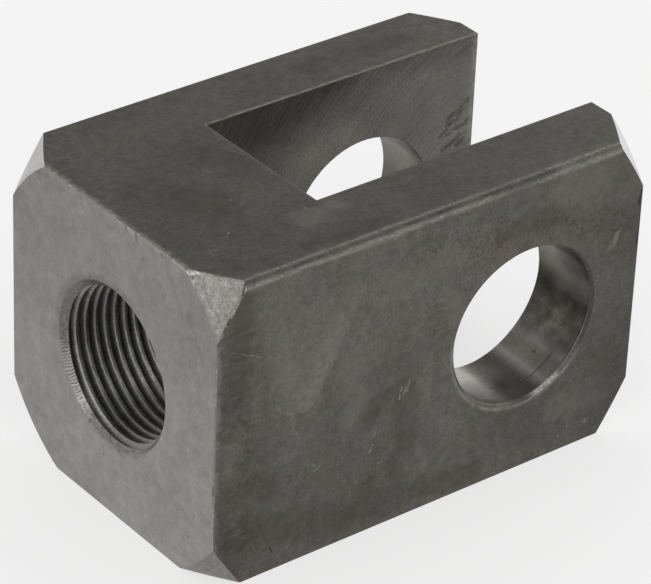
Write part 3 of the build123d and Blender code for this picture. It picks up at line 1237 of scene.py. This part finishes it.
def chattered_mouth(f, colour, radius, way):
    """Countersink with chatter at the lower left, a burnished patch and mottled dirt above."""
    u, v, _ = f.add("SeparateXYZ", {0: way}, out=None).outputs
    angle = f.add("Math", (v, u), operation="ARCTAN2")
    drift = f.product(f.cloud(1.6, 86), 9.0)
    wave = f.add("Math", (angle, CHATTER_MARKS, drift), operation="MULTIPLY_ADD")
    wave = f.add("Math", {0: wave}, operation="SINE")
    patchy = f.ease(f.cloud(0.9, 87), 0.32, 0.58, 0.25, 1.0)
    window = f.product(f.facing(way, -32, 18, 34), patchy)
    colour = f.lay(colour, "#b4b3af", window, f.ease(wave, -0.1, 0.8), 0.7)
    colour = f.lay(colour, "#605e5a", window, f.ease(wave, 0.1, -0.8), 0.65)
    burnished = f.ease(f.cloud(0.6, 85), 0.35, 0.6)
    burnished = f.product(f.facing(way, -54, 5, 13), burnished)
    colour = f.lay(colour, "#b5b4b0", burnished, 0.65)
    fading = f.ease(radius, MOUTH_R, MOUTH_R - 0.35, 0.55, 1.0)
    upper = f.product(f.facing(way, 46, 44, 74), fading)
    mottle = f.ease(f.cloud(0.7, 31, 3.0), 0.32, 0.6, 0.35, 1.0)
    colour = f.lay(colour, "#64625d", upper, mottle)
    fleck = f.ease(f.cloud(0.45, 34, 2.0), 0.48, 0.6)
    colour = f.lay(colour, "#453f3a", upper, fleck, 0.7)
    light = f.ease(f.cloud(0.6, 38, 2.0), 0.53, 0.66)
    colour = f.lay(colour, "#989691", upper, light, 0.7)
    return mouth_flecks(f, colour, radius, way)


# How many marks of tool chatter one turn of the countersink would hold
CHATTER_MARKS = 165.0


def worn_edge(colours):
    """Edges broken by tools and handling: scuffed light at the end face with sparse painted glints, dull
    elsewhere.
    """
    f = Finish("steel_worn_edge")
    worn = f.cloud(1.3, 91, 3.0)
    at_end = f.ease(f.x, THREAD_END_X + 1.0, THREAD_END_X + 0.5)
    above = f.ease(f.z, 28.0, 28.5)
    end_top = f.product(at_end, above)
    filed = f.product(f.ease(f.z, 27.7, 27.9), f.ease(f.y, -27.0, -27.5))
    filed = f.product(filed, f.ease(f.near(f.x, -3.0, 10.0), 0.0, 1.0, 1.0, 0.45))
    slot = f.product(above, f.ease(f.y, FAR_WALL_Y - 1.0, FAR_WALL_Y - 0.5), f.ease(f.y, 28.0, 27.0))
    # Based on the near side's colour, painted lighter for its light
    colour = f.shade(colours.drawn_side_lit, f.tone((worn, 0.2)))
    colour = f.lay(colour, "#76736e", at_end, 0.9)
    colour = f.lay(colour, "#8a8883", end_top, f.ease(worn, 0.36, 0.6))
    colour = f.lay(colour, "#7b7973", f.most(filed, slot), f.ease(worn, 0.3, 0.55, 0.3, 1.0))
    # Sparse painted glints on bare spots along the end face's edges, fainter on the filed edge
    sparse = f.ease(f.cloud(0.8, 92), 0.58, 0.66)
    lower = f.product(at_end, f.ease(f.z, 6.0, -2.0), f.ease(f.cloud(3.0, 94), 0.44, 0.5))
    glints = f.product(f.most(end_top, lower, f.product(filed, 0.4)), sparse)
    colour = f.lay(colour, colours.bright, glints, 0.8)
    pin, _ = f.around("y")
    rim = f.product(f.near(f.y, FAR_WALL_Y, 0.6), f.ease(pin, 16.2, 15.8))
    colour = f.lay(colour, "#3b3a36", rim, 0.9)
    return f.steel(colour, 0.45, f.cloud(0.4, 93), 0.03)


FINISHES = (faced_end, turned_corner, drawn_bar, filed_edge)
FINISHES += (milled_slot, bored_hole, tapped_thread, worn_edge)


def matt_white_board(settings):
    """Matt white board: near white to the eye, white in gloss, and still shaded by the clevis."""
    f = Finish("matt_white_board")
    path = f.add("LightPath", out=None).outputs
    gloss = f.most(path["Is Glossy Ray"], path["Is Transmission Ray"])
    seen = f.most(f.product(path["Is Camera Ray"], 0.62), f.product(gloss, 0.95))
    board = f.add("BsdfDiffuse", {"Color": (*settings.floor_colour, 1), "Roughness": 0.0})
    glow = f.add("Emission", {"Color": (1, 1, 1, 1), "Strength": 1.0})
    mixed = f.add("MixShader", (seen, board, glow))
    f.add("OutputMaterial", {"Surface": mixed}, out=None)
    return f.material


# Operators


class CLEVIS_OT_steel_body(bpy.types.Operator):
    """Cut the clevis from its bar: broken and worn edges, and the rod thread"""

    bl_idname = "clevis.steel_body"
    bl_label = "Steel Body"

    def execute(self, context):
        sizes = context.scene.clevis_sizes
        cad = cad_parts[NODE]
        shape = bmesh.new()
        shape.from_mesh(cad.data)
        bmesh.ops.remove_doubles(shape, verts=shape.verts, dist=1e-7)
        bmesh.ops.dissolve_limit(
            shape,
            angle_limit=math.radians(0.3),
            verts=shape.verts,
            edges=shape.edges,
            use_dissolve_boundaries=False,
        )
        uneven_chamfer(shape)
        shape.normal_update()
        centres = np.array([f.calc_center_median() for f in shape.faces]) / MM
        normals = np.array([f.normal for f in shape.faces])
        for face, finish in zip(shape.faces, finish_of(centres, normals)):
            face.material_index = int(finish)
        refine_corners(shape, cuts=3)
        divide(shape, edges_to_break(shape), sizes.edge_step)
        bmesh.ops.bevel(
            shape,
            geom=edges_to_break(shape),
            offset=sizes.edge_break,
            offset_type="OFFSET",
            segments=2,
            profile=0.5,
            affect="EDGES",
            clamp_overlap=False,
            material=WORN_EDGE,
        )
        wear_edges(shape, sizes)
        mesh = bpy.data.meshes.new("clevis_steel")
        shape.to_mesh(mesh)
        shape.free()
        body = bpy.data.objects.new("clevis_steel", mesh)
        for finish in FINISHES:
            mesh.materials.append(finish(context.scene.clevis_colours))
        context.scene.collection.objects.link(body)
        tool = tap_body(sizes, TAPPED_THREAD)
        for material in mesh.materials:
            tool.data.materials.append(material)
        cut_with(body, tool)
        sharpen(body.data)
        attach(body, "root")
        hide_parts(NODE)
        return {"FINISHED"}


class CLEVIS_OT_stage(bpy.types.Operator):
    """Set out the pale floor, the soft lamps and the camera"""

    bl_idname = "clevis.stage"
    bl_label = "Stage"

    def execute(self, context):
        settings = context.scene.clevis_stage
        make_floor(settings)
        make_world(context.scene)
        make_lamps()
        make_camera(context.scene, settings)
        context.scene.view_settings.view_transform = "Standard"
        return {"FINISHED"}


def make_floor(settings):
    """Flat round floor, (r cos a, r sin a) on rings that grow wider outwards."""
    r = settings.floor_radius * np.linspace(0, 1, 13) ** 2
    a = np.linspace(0, 2 * np.pi, 65)
    x = r[:, None] * np.cos(a)
    y = r[:, None] * np.sin(a)
    grid = np.stack([x, y, np.full_like(x, -(BAR_HALF + FLOOR_GAP) * MM)], axis=-1)
    mesh, shape = woven("floor", grid, 1e-6)
    shape.to_mesh(mesh)
    shape.free()
    floor = bpy.data.objects.new("floor", mesh)
    mesh.materials.append(matt_white_board(settings))
    bpy.context.scene.collection.objects.link(floor)


def make_world(scene):
    """White surroundings: full white to the eye and in gloss, a little less as light."""
    scene.world = bpy.data.worlds.new("white_tent")
    tent = Nodes(scene.world)
    path = tent.add("LightPath", out=None).outputs
    seen = tent.most(*(path[f"Is {kind} Ray"] for kind in ("Camera", "Glossy", "Transmission")))
    strength = tent.add("MapRange", {"Value": seen, "To Min": TENT_LIGHT, "To Max": 1.0})
    white = tent.add("Background", {"Color": (1, 1, 1, 1), "Strength": strength})
    tent.add("OutputWorld", (white,), out=None)


# How strong the tent is as light, where it is 1 to the eye
TENT_LIGHT = 0.75


def make_lamps():
    """Two large soft lamps, high on the left and lower on the right."""
    for name, place, size, power in (
        ("left_softbox", (-1.3, -0.9, 1.3), 1.0, 4.0),
        ("right_softbox", (1.5, -0.3, 0.9), 0.9, 1.6),
    ):
        light = bpy.data.lights.new(name, "AREA")
        light.shape = "SQUARE"
        light.size = size
        light.energy = power
        lamp = bpy.data.objects.new(name, light)
        lamp.location = place
        lamp.rotation_euler = (-Vector(place)).to_track_quat("-Z", "Y").to_euler()
        bpy.context.scene.collection.objects.link(lamp)


def make_camera(scene, settings):
    """Camera at the photograph's place, looking at the aim point with a little roll."""
    azimuth, elevation = settings.azimuth, settings.elevation
    back = Vector(
        (
            math.sin(azimuth) * math.cos(elevation),
            -math.cos(azimuth) * math.cos(elevation),
            math.sin(elevation),
        )
    )
    level = Vector((math.cos(azimuth), math.sin(azimuth), 0))
    right = math.cos(settings.roll) * level + math.sin(settings.roll) * back.cross(level)
    turn = Matrix((right, back.cross(right), back)).transposed().to_4x4()
    place = Vector(settings.aim) + settings.distance * back
    data = bpy.data.cameras.new("camera")
    data.sensor_width = 36
    data.lens = settings.lens
    data.clip_start = 0.01
    data.clip_end = 50
    camera = bpy.data.objects.new("camera", data)
    camera.matrix_world = Matrix.Translation(place) @ turn
    scene.collection.objects.link(camera)
    scene.camera = camera


class CLEVIS_PT_panel(bpy.types.Panel):
    """Lists the clevis's operators"""

    bl_idname = "CLEVIS_PT_panel"
    bl_label = "Rod Clevis"
    bl_space_type = "VIEW_3D"
    bl_region_type = "UI"
    bl_category = "Clevis"

    def draw(self, context):
        for step in STEPS:
            self.layout.operator(step.bl_idname)


GROUPS = {
    "clevis_sizes": ClevisSizes,
    "clevis_colours": ClevisColours,
    "clevis_stage": StageSettings,
}
STEPS = (CLEVIS_OT_stage, CLEVIS_OT_steel_body)


def register():
    for name, group in GROUPS.items():
        bpy.utils.register_class(group)
        setattr(bpy.types.Scene, name, PointerProperty(type=group))
    for part in (*STEPS, CLEVIS_PT_panel):
        bpy.utils.register_class(part)


def unregister():
    for part in (CLEVIS_PT_panel, *reversed(STEPS)):
        bpy.utils.unregister_class(part)
    for name, group in reversed(GROUPS.items()):
        delattr(bpy.types.Scene, name)
        bpy.utils.unregister_class(group)


def main():
    """Registers the add-on and runs its steps in order."""
    register()
    bpy.ops.clevis.stage()
    bpy.ops.clevis.steel_body()


if __name__ == "__main__":
    main()
